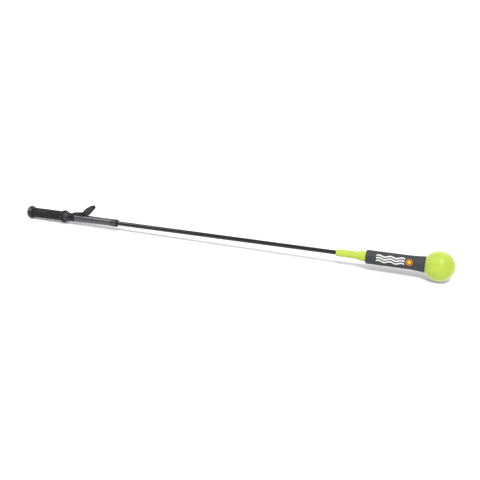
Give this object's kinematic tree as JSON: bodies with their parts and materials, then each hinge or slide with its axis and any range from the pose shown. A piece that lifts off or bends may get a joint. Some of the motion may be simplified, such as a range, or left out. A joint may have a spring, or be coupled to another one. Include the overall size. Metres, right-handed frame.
{
  "type": "swing trainer stick",
  "caption": "Weighted swing trainer: flexible tapered rod with a ribbed training handle, a folding hand guide and a ball-ended weighted head.",
  "frame": {"origin": "centre of the butt end's face, on the stick's axis", "axes": "+X along the rod towards the ball, +Z the side the hand guide stands on, +Y to its left"},
  "size_m": [1.015, 0.0568, 0.0655],
  "materials": {
    "flange_grey": "satin moulded",
    "grip_rubber": "matte ribbed rubber",
    "core_nylon": "plain moulded nylon",
    "pin_steel": "ground steel",
    "screw_steel": "black oxide",
    "guide_black": "fine moulded grain",
    "lever_black": "fine moulded grain",
    "pad_rubber": "dimpled soft rubber",
    "grip_grey": "satin moulded",
    "ring_grey": "satin moulded",
    "rod_black": "gloss lacquered fibreglass",
    "neon_rubber": "matte neon",
    "neon_ball": "satin neon",
    "sleeve_grey": "satin soft-touch",
    "weight_steel": "turned steel"
  },
  "bodies": {
    "stick": {"butt_cap": "flange_grey", "upper_grip": "grip_rubber", "grip_collar": "flange_grey", "handle_core": "core_nylon", "handle_pin": "pin_steel", "lower_grip": "grip_grey", "lower_grip_ring": "ring_grey", "shaft": "rod_black", "ferrule": "neon_rubber", "weight_sleeve": "sleeve_grey", "weight_core": "weight_steel", "weight_pin": "pin_steel", "ball_hub": "core_nylon", "tip_stud": "screw_steel", "hub_washer": "screw_steel", "lock_nut": "screw_steel", "ball": "neon_ball"},
    "collar": {"guide_collar": "guide_black", "lock_screw": "screw_steel", "hinge_pin": "screw_steel", "torsion_spring": "pin_steel"},
    "lever": {"guide_lever": "lever_black", "lever_pads": "pad_rubber"}
  },
  "joints": [
    {"name": "collar_turn", "type": "hinge", "parent": "stick", "child": "collar", "pos_m": [0.1282, 0, 0], "axis": [1, 0, 0], "range_deg": [-90, 90]},
    {"name": "lever_fold", "type": "hinge", "parent": "collar", "child": "lever", "pos_m": [0.179, 0, 0.0152], "axis": [0, 1, 0], "range_deg": [0, 40], "stiffness_Nm_per_rad": 0.03, "springref_deg": -20.05, "deforming": ["torsion_spring"]}
  ]
}
